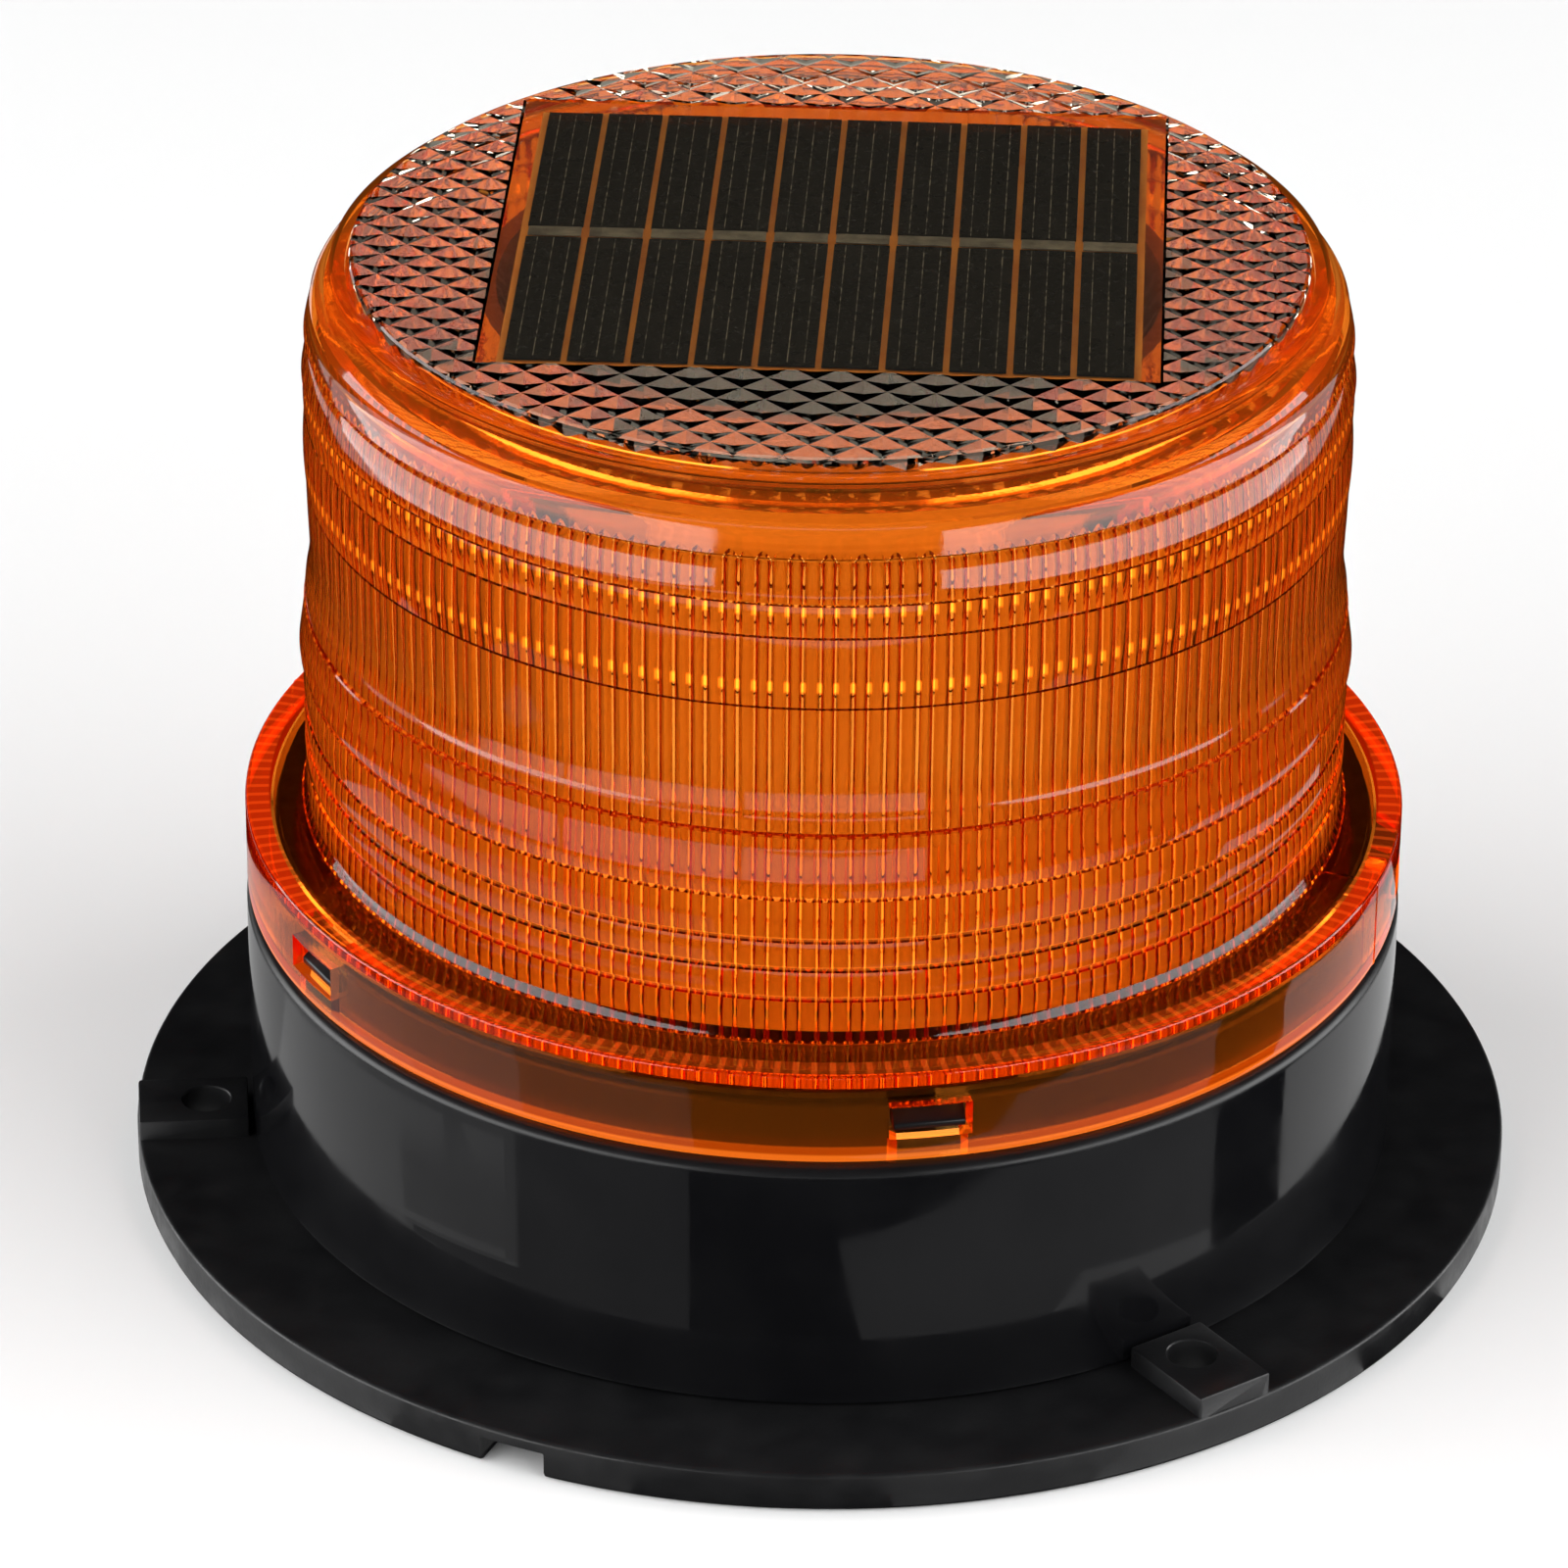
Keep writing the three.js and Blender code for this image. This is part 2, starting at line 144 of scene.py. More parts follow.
def mesh_from_rings(rings, close=True, cap=False):
    """A bmesh of stacked rings; close joins the last ring to the first, cap fills both ends."""
    bm = bmesh.new()
    numbers = []
    verts = []
    for r in rings:
        numbers.append(list(range(len(verts), len(verts) + len(r))))
        verts.extend(bm.verts.new(Vector(p) * MM) for p in r)
    bm.verts.ensure_lookup_table()
    pairs = list(zip(numbers, numbers[1:]))
    if close:
        pairs.append((numbers[-1], numbers[0]))
    for first, second in pairs:
        for face in stitch(first, second):
            bm.faces.new([verts[i] for i in face])
    if cap:
        bm.faces.new([verts[i] for i in numbers[0]])
        bm.faces.new([verts[i] for i in numbers[-1]])
    return bm, numbers


def turned(profile, columns, close=True, cap=False):
    return mesh_from_rings([ring(r, z, columns) for r, z in profile], close, cap)[0]


def add_piece(name, bm, material, body=LIGHT, replaces=(), sharp=32):
    bmesh.ops.recalc_face_normals(bm, faces=bm.faces)
    mesh = bpy.data.meshes.new(name)
    bm.to_mesh(mesh)
    bm.free()
    obj = bpy.data.objects.new(name, mesh)
    bpy.context.scene.collection.objects.link(obj)
    if material is not None:
        mesh.materials.append(material)
    mesh.shade_smooth()
    mesh.set_sharp_from_angle(angle=math.radians(sharp))
    if body:
        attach(obj, body)
        if replaces:
            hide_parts(*replaces)
    return obj


def block(x0, x1, y0, y1, z0, z1, turn=0.0, bevel=0.0, segments=2):
    bm = bmesh.new()
    bmesh.ops.create_cube(bm, size=1)
    size = Vector((x1 - x0, y1 - y0, z1 - z0))
    mid = Vector((x0 + x1, y0 + y1, z0 + z1)) / 2
    for v in bm.verts:
        v.co = Vector((v.co.x * size.x, v.co.y * size.y, v.co.z * size.z)) + mid
    if bevel:
        bmesh.ops.bevel(
            bm, geom=bm.edges[:], offset=bevel, segments=segments, profile=0.5, affect="EDGES"
        )
    bm.transform(Matrix.Rotation(math.radians(turn), 4, "Z"))
    bm.transform(Matrix.Scale(MM, 4))
    return bm


def post(x, y, profile, columns=40):
    """A solid turned about its own vertical axis; the profile runs up from bottom to top."""
    bm = turned(profile, columns, close=False, cap=True)
    bm.transform(Matrix.Translation(Vector((x, y, 0)) * MM))
    return bm


def joined(parts):
    bm = bmesh.new()
    for part in parts:
        mesh = bpy.data.meshes.new("part")
        bmesh.ops.recalc_face_normals(part, faces=part.faces)
        part.to_mesh(mesh)
        part.free()
        bm.from_mesh(mesh)
        bpy.data.meshes.remove(mesh)
    return bm


def combined(bm, other, operation):
    """bm joined with or cut by the bmesh other, by Blender's exact boolean."""
    objects = []
    for name, part in (("start", bm), ("tool", other)):
        bmesh.ops.recalc_face_normals(part, faces=part.faces)
        mesh = bpy.data.meshes.new(name)
        part.to_mesh(mesh)
        part.free()
        objects.append(bpy.data.objects.new(name, mesh))
        bpy.context.scene.collection.objects.link(objects[-1])
    modifier = objects[0].modifiers.new("boolean", "BOOLEAN")
    modifier.operation = operation
    modifier.solver = "EXACT"
    modifier.object = objects[1]
    graph = bpy.context.evaluated_depsgraph_get()
    result = bmesh.new()
    result.from_mesh(objects[0].evaluated_get(graph).to_mesh())
    for obj in objects:
        mesh = obj.data
        bpy.data.objects.remove(obj)
        bpy.data.meshes.remove(mesh)
    return result


# ---------------------------------------------------------------- materials
class Shader:
    """A node-based material: a Principled shader with noise-driven colour, roughness and bump."""

    def __init__(self, name, color, roughness, metallic=0.0, ior=1.5):
        self.material = bpy.data.materials.new(name)
        self.material.use_nodes = True
        self.tree = self.material.node_tree
        self.shader = self.tree.nodes["Principled BSDF"]
        self.shader.inputs["Base Color"].default_value = (*color, 1)
        self.shader.inputs["Roughness"].default_value = roughness
        self.shader.inputs["Metallic"].default_value = metallic
        self.shader.inputs["IOR"].default_value = ior
        self.coordinates = self.node("ShaderNodeTexCoord").outputs["Object"]

    def node(self, kind, **values):
        node = self.tree.nodes.new(kind)
        for key, value in values.items():
            if key in node.inputs:
                node.inputs[key].default_value = value
            else:
                setattr(node, key, value)
        return node

    def link(self, source, target):
        self.tree.links.new(source, target)

    def scaled(self, scale):
        mapping = self.node("ShaderNodeMapping")
        mapping.inputs["Scale"].default_value = scale
        self.link(self.coordinates, mapping.inputs["Vector"])
        return mapping.outputs["Vector"]

    def noise(self, scale, detail=3.0, roughness=0.5, stretch=(1, 1, 1)):
        node = self.node("ShaderNodeTexNoise", Scale=scale, Detail=detail, Roughness=roughness)
        self.link(self.scaled(stretch), node.inputs["Vector"])
        return node.outputs["Fac"]

    def spread(self, value, low_in, high_in, low_out, high_out):
        node = self.node("ShaderNodeMapRange")
        node.inputs["From Min"].default_value = low_in
        node.inputs["From Max"].default_value = high_in
        node.inputs["To Min"].default_value = low_out
        node.inputs["To Max"].default_value = high_out
        self.link(value, node.inputs["Value"])
        return node.outputs["Result"]

    def mix(self, factor, first, second):
        node = self.node("ShaderNodeMix", data_type="RGBA")
        for socket, value in (("Factor", factor), ("A", first), ("B", second)):
            target = next(s for s in node.inputs if s.name == socket and s.enabled)
            if isinstance(value, tuple):
                target.default_value = (*value, 1)
            else:
                self.link(value, target)
        return next(s for s in node.outputs if s.enabled)

    def vary_color(self, first, second, scale, stretch=(1, 1, 1)):
        factor = self.spread(self.noise(scale, 4, 0.6, stretch), 0.35, 0.65, 0, 1)
        self.link(self.mix(factor, first, second), self.shader.inputs["Base Color"])

    def vary_roughness(self, smooth, rough, scale, stretch=(1, 1, 1)):
        value = self.noise(scale, 5, 0.6, stretch)
        self.link(self.spread(value, 0.35, 0.65, smooth, rough), self.shader.inputs["Roughness"])

    def math(self, operation, first, second=None):
        node = self.node("ShaderNodeMath", operation=operation)
        for socket, value in zip(node.inputs, (first, second)):
            if isinstance(value, (int, float)):
                socket.default_value = value
            elif value is not None:
                self.link(value, socket)
        return node.outputs["Value"]

    def between(self, value, start, end, soft):
        """One inside a range of a value, fading to nothing over a soft margin on either side."""
        rise = self.spread(value, start - soft, start, 0, 1)
        fall = self.spread(value, end, end + soft, 1, 0)
        return self.math("MULTIPLY", rise, fall)

    def bump(self, height, strength, distance):
        node = self.node("ShaderNodeBump", Strength=strength, Distance=distance * MM)
        self.link(height, node.inputs["Height"])
        self.link(node.outputs["Normal"], self.shader.inputs["Normal"])
        return node


def painted_edge_glow_and_glints(s):
    """Painted glow and glints: emission painted on the amber at its edges, the shelf rim, the groove floors, the
    flute ridges and the steps of the flutes.
    """
    parts = s.node("ShaderNodeSeparateXYZ")
    s.link(s.scaled((1000, 1000, 1000)), parts.inputs["Vector"])
    x, y, z = parts.outputs
    radius = s.math("SQRT", s.math("ADD", s.math("MULTIPLY", x, x), s.math("MULTIPLY", y, y)))
    turn = s.math("MULTIPLY", s.math("ARCTAN2", x, y), FLUTES / (2 * math.pi))
    across = s.math("ABSOLUTE", s.math("SUBTRACT", s.math("FRACT", turn), 0.5))
    bore = s.between(radius, DRUM_BORE - 1, DRUM_BORE + 1, 0.1)
    # Painted glints: bright points where the ridges between the flutes meet two steps of the bore
    dots = s.between(across, -0.1, 0.13, 0.07)
    steps = s.math("MAXIMUM", s.between(z, 90.7, 91.4, 0.25), s.between(z, 82.5, 83.3, 0.3))
    painted_glints = s.math("MULTIPLY", s.math("MULTIPLY", dots, steps), bore)
    # Painted glow on the ridges themselves, behind the low bands
    low_zone = s.between(z, SHELF_TOP + 1.5, DRUM_GROOVES[-1] + 0.4, 1)
    ribs = s.math("MULTIPLY", s.between(across, -0.1, 0.04, 0.05), low_zone)
    ribs = s.math("MULTIPLY", ribs, bore)
    # Painted glow on the lower edge of the skirt, the rim of the shelf and the rounded shoulder
    foot = s.between(z, SKIRT_BOTTOM - 1, SKIRT_BOTTOM + 1.1, 0.25)
    on_shelf = s.between(z, SHELF_TOP - 0.1, SHELF_TOP + 0.1, 0.05)
    shelf = s.math("MULTIPLY", on_shelf, s.between(radius, SKIRT_R - 2.4, SKIRT_R, 0.2))
    dashes = s.math("MULTIPLY", shelf, s.math("ADD", s.math("MULTIPLY", dots, 0.25), 0.12))
    shoulder = s.math("MULTIPLY", s.between(z, 98.6, LENS_TOP + 1, 1), s.between(radius, 49.5, 60, 1))
    painted_glow = s.math("MAXIMUM", s.math("MULTIPLY", foot, 0.42), dashes)
    painted_glow = s.math("MAXIMUM", painted_glow, s.math("MULTIPLY", shoulder, 0.07))
    painted_glow = s.math("MAXIMUM", painted_glow, s.math("MULTIPLY", ribs, 0.4))
    # Painted glow along the floors of the grooves between the low bands
    floor = s.between(radius, 54.25, 54.5, 0.1)
    for groove in DRUM_GROOVES[1:]:
        line = s.math("MULTIPLY", s.between(z, groove - 0.16, groove + 0.16, 0.12), floor)
        painted_glow = s.math("MAXIMUM", painted_glow, s.math("MULTIPLY", line, 0.28))
    # The painted glow and painted glints drive the emission; it is orange, yellower at the glints and ridges, red on
    # the shelf rim
    s.link(s.math("ADD", painted_glow, painted_glints), s.shader.inputs["Emission Strength"])
    color = s.mix(s.math("MAXIMUM", painted_glints, ribs), (1, 0.24, 0.02), (1, 0.5, 0.07))
    s.link(s.mix(shelf, color, (1, 0.1, 0.008)), s.shader.inputs["Emission Color"])


def amber_plastic():
    s = Shader("amber_plastic", (0.96, 0.6, 0.2), 0.03, ior=1.52)
    s.shader.inputs["Transmission Weight"].default_value = 1
    s.vary_roughness(0.015, 0.075, 260)
    s.bump(s.noise(420, 3, 0.6, (1, 1, 0.12)), 0.09, 0.14)
    # Painted glow and glints, as emission on the amber
    painted_edge_glow_and_glints(s)
    absorb = s.node("ShaderNodeVolumeAbsorption")
    absorb.inputs["Color"].default_value = (0.98, 0.68, 0.2, 1)
    absorb.inputs["Density"].default_value = 500
    s.link(absorb.outputs["Volume"], s.tree.nodes["Material Output"].inputs["Volume"])
    return s.material


def clear_plastic():
    s = Shader("clear_plastic", (0.97, 0.87, 0.68), 0.02, ior=1.49)
    s.shader.inputs["Transmission Weight"].default_value = 1
    s.vary_roughness(0.005, 0.05, 300)
    s.bump(s.noise(500, 2), 0.03, 0.1)
    return s.material


def gloss_black():
    s = Shader("gloss_black", (0.004, 0.004, 0.0045), 0.1)
    s.vary_color((0.003, 0.003, 0.0035), (0.0045, 0.0045, 0.005), 90)
    polish = s.spread(s.noise(180, 5, 0.6), 0.35, 0.65, 0.05, 0.13)
    parts = s.node("ShaderNodeSeparateXYZ")
    s.link(s.scaled((1000, 1000, 1000)), parts.inputs["Vector"])
    worn_edge = s.spread(parts.outputs["Z"], WALL_TOP - 1.5, WALL_TOP - 1, 0, 0.25)
    s.link(s.math("ADD", polish, worn_edge), s.shader.inputs["Roughness"])
    s.bump(s.noise(160, 3), 0.06, 0.15)
    return s.material


def satin_black():
    s = Shader("satin_black", (0.012, 0.012, 0.013), 0.4)
    s.vary_color((0.005, 0.005, 0.0055), (0.0085, 0.0085, 0.009), 130)
    s.vary_roughness(0.3, 0.5, 220)
    s.bump(s.noise(2600, 2), 0.25, 0.06)
    return s.material


def plain(name, first, second, roughness, metallic=0.0, scale=300, grain=0.15, stretch=(1, 1, 1)):
    s = Shader(name, first, roughness, metallic)
    s.vary_color(first, second, scale, stretch)
    s.vary_roughness(roughness * 0.75, min(1, roughness * 1.3), scale * 1.7, stretch)
    s.bump(s.noise(scale * 4, 3), grain, 0.05)
    return s.material


def silicon():
    s = Shader("silicon", (0.006, 0.0065, 0.009), 0.3, ior=1.18)
    s.shader.inputs["Specular IOR Level"].default_value = 0.3
    s.vary_color((0.004, 0.0045, 0.007), (0.009, 0.0095, 0.012), 500, (1, 0.2, 1))
    s.vary_roughness(0.22, 0.4, 700)
    s.bump(s.noise(900, 3), 0.1, 0.04)
    return s.material


def finger_silver():
    s = Shader("finger_silver", (0.3, 0.29, 0.27), 0.45, 0.6)
    beads = s.noise(900, 1, 0.5, (0.4, 1, 1))
    factor = s.spread(beads, 0.42, 0.58, 0, 1)
    s.link(s.mix(factor, (0.05, 0.05, 0.05), (0.42, 0.4, 0.36)), s.shader.inputs["Base Color"])
    s.bump(beads, 0.3, 0.05)
    return s.material


AMBER = amber_plastic()
CLEAR = clear_plastic()
SILVER = finger_silver()
SOLDER = plain("solder_ribbon", (0.33, 0.32, 0.3), (0.16, 0.155, 0.15), 0.4, 0.5, 420, 0.5)
LOOKS = {
    "amber_lens": AMBER,
    "clear_cover": CLEAR,
    "black_gloss": gloss_black(),
    "black_satin": satin_black(),
    "silicon": silicon(),
    "reflector_white": plain("reflector_white", (0.86, 0.84, 0.8), (0.78, 0.76, 0.71), 0.25),
    "seal_rubber": plain("seal_rubber", (0.012, 0.012, 0.013), (0.02, 0.02, 0.02), 0.75),
    "backsheet": plain("backsheet", (0.66, 0.2, 0.02), (0.8, 0.3, 0.04), 0.55, scale=120),
    "white_board": plain("white_board", (0.8, 0.8, 0.77), (0.72, 0.72, 0.68), 0.45),
    "led_epoxy": plain("led_epoxy", (0.85, 0.5, 0.12), (0.9, 0.58, 0.18), 0.12),
    "tray_black": plain("tray_black", (0.012, 0.012, 0.013), (0.018, 0.018, 0.019), 0.5),
    "battery_wrap": plain("battery_wrap", (0.03, 0.16, 0.07), (0.05, 0.22, 0.1), 0.3, scale=150),
    "contact_steel": plain("contact_steel", (0.56, 0.55, 0.53), (0.42, 0.41, 0.4), 0.3, 0.95),
    "board_green": plain("board_green", (0.02, 0.1, 0.04), (0.03, 0.14, 0.06), 0.4, scale=600),
    "chip_black": plain("chip_black", (0.012, 0.012, 0.013), (0.02, 0.02, 0.02), 0.55),
    "capacitor_sleeve": plain("capacitor_sleeve", (0.01, 0.02, 0.08), (0.015, 0.03, 0.11), 0.3),
    "inductor_wound": plain("inductor_wound", (0.05, 0.035, 0.025), (0.09, 0.05, 0.03), 0.5, 0.3),
    "screw_steel": plain("screw_steel", (0.46, 0.46, 0.45), (0.34, 0.34, 0.33), 0.32, 1.0),
    "switch_shell": plain("switch_shell", (0.5, 0.5, 0.49), (0.4, 0.4, 0.39), 0.35, 0.95),
    "switch_knob": plain("switch_knob", (0.72, 0.7, 0.64), (0.64, 0.62, 0.56), 0.4),
    "wire_red": plain("wire_red", (0.42, 0.015, 0.01), (0.5, 0.025, 0.015), 0.4),
    "wire_black": plain("wire_black", (0.012, 0.012, 0.012), (0.02, 0.02, 0.02), 0.4),
}


# ---------------------------------------------------------------- stage, camera and lights
def add_stage():
    bm = bmesh.new()
    bmesh.ops.create_grid(bm, x_segments=1, y_segments=1, size=4)
    floor_shader = Shader("pale_floor", (0.84, 0.84, 0.84), 0.9)
    floor_shader.vary_color((0.835, 0.835, 0.835), (0.845, 0.845, 0.845), 3)
    floor = add_piece("floor", bm, floor_shader.material, body=None)
    floor.visible_glossy = False


def add_camera():
    unit = FLANGE_R * MM
    look = Vector((-0.057, 0, 0.581)) * unit
    pitch = math.radians(28.85)
    roll = math.radians(0.53)
    distance = 11.27 * unit
    data = bpy.data.cameras.new("camera")
    data.lens = 180
    data.sensor_width = 36
    camera = bpy.data.objects.new("camera", data)
    bpy.context.scene.collection.objects.link(camera)
    right = Vector((1, 0, 0))
    up = Vector((0, math.sin(pitch), math.cos(pitch)))
    back = Vector((0, -math.cos(pitch), math.sin(pitch)))
    across = math.cos(roll) * right + math.sin(roll) * up
    above = -math.sin(roll) * right + math.cos(roll) * up
    turn = Matrix((across, above, back)).transposed().to_4x4()
    camera.matrix_world = Matrix.Translation(look + distance * back) @ turn
    bpy.context.scene.camera = camera


def add_light(name, centre, target, width, height, radiance, glossy=True, others=True):
    data = bpy.data.lights.new(name, "AREA")
    data.shape = "RECTANGLE"
    data.size = width
    data.size_y = height
    data.energy = radiance * width * height * math.pi
    light = bpy.data.objects.new(name, data)
    bpy.context.scene.collection.objects.link(light)
    aim = (Vector(target) - Vector(centre)).to_track_quat("-Z", "Y")
    light.matrix_world = Matrix.Translation(Vector(centre)) @ aim.to_matrix().to_4x4()
    light.visible_camera = False
    light.visible_glossy = glossy
    light.visible_diffuse = others
    light.visible_transmission = others
    return light


def add_panel(name, side, near, far, low_z, high_z, radiance, glossy=True, others=True):
    """A soft panel in the plane one metre to one side, between two azimuths from the front."""
    front = -1 / math.tan(math.radians(near))
    rear = -1 / math.tan(math.radians(far))
    middle = (side, (front + rear) / 2, (low_z + high_z) / 2)
    target = (0, middle[1], middle[2])
    return add_light(name, middle, target, rear - front, high_z - low_z, radiance, glossy, others)


def add_table_patch(name, azimuth, reach, width, radiance):
    """A lit patch of table, seen only in the glossy wall, with one edge that mirrors upright.

    The edge leaves the wall at one azimuth and runs out along twice that azimuth, which is where
    the wall mirrors the camera's view. A negative width puts the patch on the edge's other side.
    """
    start = Vector(on_circle(WALL_R, azimuth, 0.5)) * MM
    along = Vector(on_circle(1, 2 * azimuth, 0))
    across = Vector((along.y, -along.x, 0))
    inward = 0.03
    middle = start + along * (reach - inward) / 2 + across * width / 2
    above = middle + Vector((0, 0, 1))
    light = add_light(name, middle, above, reach + inward, abs(width), radiance, others=False)
    turn = Matrix((along, across, (0, 0, -1))).transposed().to_4x4()
    light.matrix_world = Matrix.Translation(middle) @ turn


def add_lights():
    add_panel("softbox_left", -1, 23, 122, -0.16, 0.32, 3.8, others=False)
    add_panel("softbox_right", 1, 23, 118, -0.16, 0.32, 3.8, others=False)
    add_panel("fill_left", -1, 23, 122, -0.25, 1.7, 3.6, glossy=False)
    add_panel("fill_right", 1, 23, 118, -0.25, 1.7, 3.6, glossy=False)
    add_table_patch("table_left", -30.8, 0.084, 0.12, 0.43)
    add_table_patch("table_left_front", -12.7, 0.084, 0.12, 0.19)
    add_table_patch("table_right_front", 41.7, 0.084, 0.06, 0.27)
    add_table_patch("table_right_near", 41.7, 0.048, 0.024, 0.32)
    add_table_patch("table_right", 51.7, 0.084, -0.08, 0.69)
    for azimuth in (-150, -112, -74, -36, 2, 122):
        x, y, _ = on_circle(1.5, azimuth, 0)
        middle = (x, y, -0.285)
        add_light(f"low_strip_{azimuth + 180}", middle, (0, 0, -0.285), 1.0, 0.16, 0.95, others=False)
    world = bpy.data.worlds.new("studio")
    bpy.context.scene.world = world
    world.use_nodes = True
    tree = world.node_tree
    background = tree.nodes["Background"]
    background.inputs["Color"].default_value = (0.97, 0.98, 1, 1)
    direction = tree.nodes.new("ShaderNodeTexCoord").outputs["Generated"]
    split = tree.nodes.new("ShaderNodeSeparateXYZ")
    fade = tree.nodes.new("ShaderNodeMapRange")
    for socket, value in (("From Min", 0.05), ("From Max", 0.4), ("To Min", 0.5), ("To Max", 0.1)):
        fade.inputs[socket].default_value = value
    tree.links.new(direction, split.inputs["Vector"])
    tree.links.new(split.outputs["Z"], fade.inputs["Value"])
    tree.links.new(fade.outputs["Result"], background.inputs["Strength"])
    world.cycles_visibility.glossy = False
    bpy.context.scene.view_settings.view_transform = "Standard"


# ---------------------------------------------------------------- amber lens
def crowned(bottom, top, radius, sagitta, steps=6):
    """One band of the drum: a shallow crown between two grooves."""
    return [
        (radius + sagitta * (1 - (2 * t - 1) ** 2), bottom + (top - bottom) * t)
        for t in np.linspace(0, 1, steps + 1)
    ]


def grooved(z, radius, depth, floor=0.08):
    """The floor of the groove above one band; the slopes come from the bands on either side."""
    return [(radius - depth, z), (radius - depth, z + floor)]


def lens_outside():
    points = arc((SKIRT_R - 1.1, SKIRT_BOTTOM + 1.1), 1.1, -90, 0, 6)
    points += [(SKIRT_R, WINDOW_Z[0]), (SKIRT_R, WINDOW_Z[1])]
    points += arc((SKIRT_R - 0.5, SHELF_TOP - 0.5), 0.5, 0, 90, 4)
    points += [(58.6, SHELF_TOP), (55.6, SHELF_TOP)]
    points += arc((55.6, SHELF_TOP + 0.5), 0.5, -90, -180, 3)[1:]
    for bottom, top in zip(DRUM_GROOVES, DRUM_GROOVES[1:]):
        points += crowned(bottom + 0.34, top - 0.34, 54.8, 0.12)
        points += grooved(top - 0.08, 54.75, 0.42, 0.16)
    points += [(54.9, 60.3), (55.2, 61.2), (55.27, 61.9), (55.23, 62.2)]
    points += [(54.78, 65.4), (54.72, 65.7), (54.7, 66.9)]
    points += [(54.55, 67.1), (54.25, 67.25), (54.5, 67.6), (54.52, 68.5), (54.45, 69.2)]
    points += [(54.35, 69.55), (54.32, 69.8), (54.12, 71.1), (53.98, 72.3), (53.95, 73.6), (54.02, 75.5)]
    points += [(54.12, 78), (54.17, 80), (54.16, 81.05)]
    high_bands = ((81.2, 89, 0.22), (89, 92.6, 0.12))
    for bottom, top, sagitta in high_bands:
        points += grooved(bottom - 0.04, 54.2, 0.3)
        points += crowned(bottom + 0.15, top - 0.15, 54.2, sagitta, 8)
    points += grooved(92.56, 54.2, 0.3)
    points += [(54.35, 92.8), (54.42, 93.2), (54.3, 93.9), (54.1, 94.9), (53.85, 95.9), (53.65, 96.5)]
    points += [(53.5, 96.7), (53.3, 96.9), (53.28, 97.2)]
    return points


def lens_top():
    points = [(53.85, 97.4), (54.1, 97.65), (53.93, 98.5), (53.7, 99.5), (53.42, 100.5)]
    points += arc((49.6, 99.3), 4.15, 23, 72, 10)
    points += arc((50.9, LENS_TOP - 0.8), 0.8, 55, 90, 3)
    points += [(50.2, LENS_TOP), (49.75, LENS_TOP - 0.05), (49.7, LENS_TOP - 0.4)]
    points += [(48.0, LENS_TOP - 0.4), (48.0, PLATE_TOP), (42, PLATE_TOP), (30, PLATE_TOP), (15, PLATE_TOP)]
    points += [(3.2, PLATE_TOP), (3.2, PLATE_TOP - 2.3), (15, PLATE_TOP - 2.3), (30, PLATE_TOP - 2.3)]
    points += [(44, PLATE_TOP - 2.3), (50.4, PLATE_TOP - 2.3), (51.2, PLATE_TOP - 2.5)]
    return points


def flute_ring(z, depth, arch=0.0):
    """A ring of the drum's bore: shallow round flutes cut outwards into the wall."""
    columns = FLUTES * FLUTE_STEPS
    a = np.arange(columns) * 2 * math.pi / columns
    across = np.abs(np.cos(a * FLUTES / 2))
    deeper = 1 + 0.25 * np.sign(np.cos(a * FLUTES / 2 + 1e-6))
    r = DRUM_BORE + depth * (across ** 0.8) * deeper
    height = z + arch * across
    return np.stack([r * np.sin(a), -r * np.cos(a), height], 1)


def lens_bore():
    rings = [flute_ring(PLATE_TOP - 3.1, 0), flute_ring(99, 0), flute_ring(FLUTE_TOP + 0.3, 0, 0.9)]
    rings += [flute_ring(FLUTE_TOP, FLUTE_DEPTH * 0.8, 0.9)]
    rings += [flute_ring(z, FLUTE_DEPTH) for z in np.linspace(FLUTE_TOP - 1, SHELF_UNDER + 0.2, 7)]
    rings += [flute_ring(SHELF_UNDER, FLUTE_DEPTH)]
    return rings


def skirt_inside():
    points = [(53.2, SHELF_UNDER), (56, SHELF_UNDER), (SKIRT_BORE - 0.3, SHELF_UNDER)]
    points += [(SKIRT_BORE, SHELF_UNDER - 0.3), (SKIRT_BORE, WINDOW_Z[1]), (SKIRT_BORE, WINDOW_Z[0])]
    points += [(SKIRT_BORE, WINDOW_Z[0] - 0.7), (SKIRT_BORE, SKIRT_BOTTOM)]
    return points


def window_columns(azimuth, width, radius):
    """First and last column of a window round the skirt."""
    half = math.degrees(width / 2 / radius)
    step = 360 / COLUMNS
    first = round((azimuth - half) / step)
    last = round((azimuth + half) / step)
    return first, last


def build_lens():
    outer = lens_outside() + lens_top()
    inner = skirt_inside()
    rings = [ring(r, z, COLUMNS) for r, z in outer]
    rings += lens_bore()
    rings += [ring(r, z, COLUMNS) for r, z in inner]
    shape_parting_line(rings[: len(lens_outside())])
    for azimuth in WINDOW_AZIMUTHS:
        first, last = window_columns(azimuth, WINDOW_WIDTH - 2, SKIRT_BORE)
        for c in range(first, last + 1):
            rings[-1][c % COLUMNS][:2] *= (SKIRT_BORE + 1.2) / SKIRT_BORE
            rings[-2][c % COLUMNS][:2] *= (SKIRT_BORE + 1.0) / SKIRT_BORE
    bm, numbers = mesh_from_rings(rings)
    bm.verts.ensure_lookup_table()
    # The rings at the windows' lower and upper edges, on the skirt's face and on its bore
    outside = [numbers[7], numbers[8]]
    inside = [numbers[-3], numbers[-4]]
    cut_windows(bm, outside, inside)
    return bm


